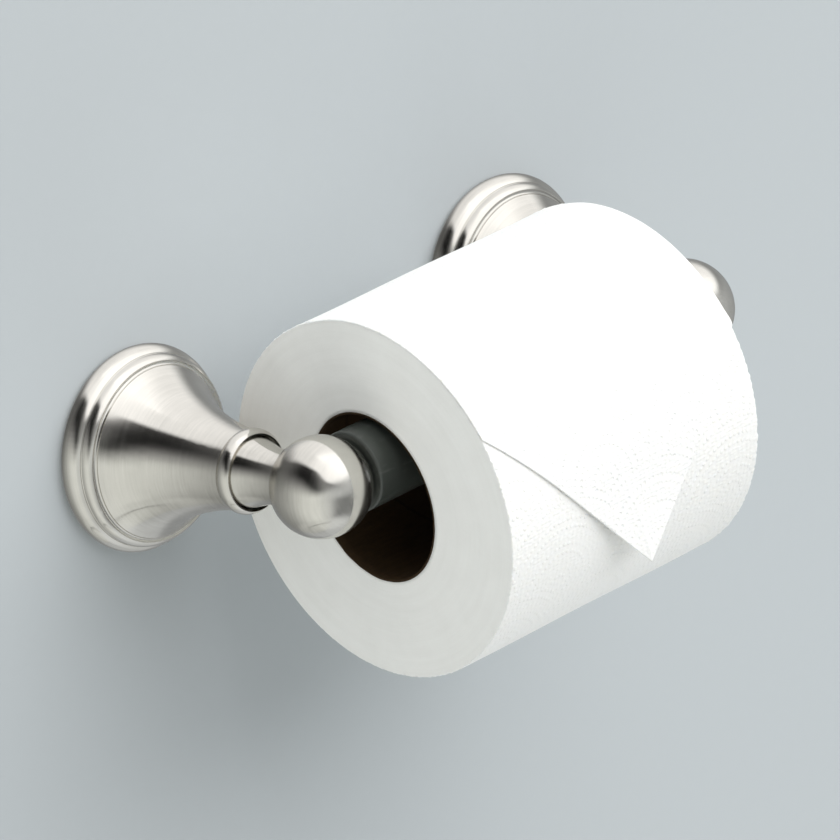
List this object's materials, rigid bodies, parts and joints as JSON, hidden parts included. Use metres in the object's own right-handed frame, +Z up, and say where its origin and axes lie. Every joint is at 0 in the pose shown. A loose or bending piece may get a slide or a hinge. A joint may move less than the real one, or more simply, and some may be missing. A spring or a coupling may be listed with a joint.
{
  "type": "toilet paper holder",
  "caption": "Wall-mounted toilet paper holder: two turned posts with ball ends carry a sprung roller, with a paper roll hanging on it.",
  "frame": {"origin": "on the wall plane, midway between the two posts and on their axes", "axes": "+X along the roller to the right, +Y into the wall, +Z up"},
  "size_m": [0.2132, 0.1303, 0.1091],
  "materials": {
    "nickel": "brushed nickel plate",
    "steel": "zinc-plated steel",
    "bracket": "raw zinc casting",
    "roller": "dark grey moulded plastic, low sheen",
    "core": "brown cardboard",
    "paper": "soft embossed white tissue"
  },
  "bodies": {
    "root": {"left_post": "nickel", "left_finial": "nickel", "left_finial_screw": "steel", "left_finial_washer": "steel", "left_wall_bracket": "bracket", "left_set_screw": "steel", "right_post": "nickel", "right_finial": "nickel", "right_finial_screw": "steel", "right_finial_washer": "steel", "right_wall_bracket": "bracket", "right_set_screw": "steel"},
    "roller_large": {"roller_large_half": "roller", "roller_spring": "steel"},
    "roller_small": {"roller_small_half": "roller"},
    "roll": {"cardboard_core": "core", "paper_roll": "paper", "loose_sheet": "paper"}
  },
  "joints": [
    {"name": "roller_spin", "type": "hinge", "parent": "root", "child": "roller_large", "pos_m": [0, -0.0753, 0], "axis": [1, 0, 0], "continuous": true},
    {"name": "roller_press", "type": "slide", "parent": "roller_large", "child": "roller_small", "axis": [1, 0, 0], "range_m": [-0.014, 0], "stiffness_N_per_m": 300, "springref_m": 0.03, "deforming": ["roller_spring"]},
    {"name": "roll_spin", "type": "hinge", "parent": "root", "child": "roll", "pos_m": [0, -0.0753, -0.011], "axis": [1, 0, 0], "continuous": true}
  ]
}
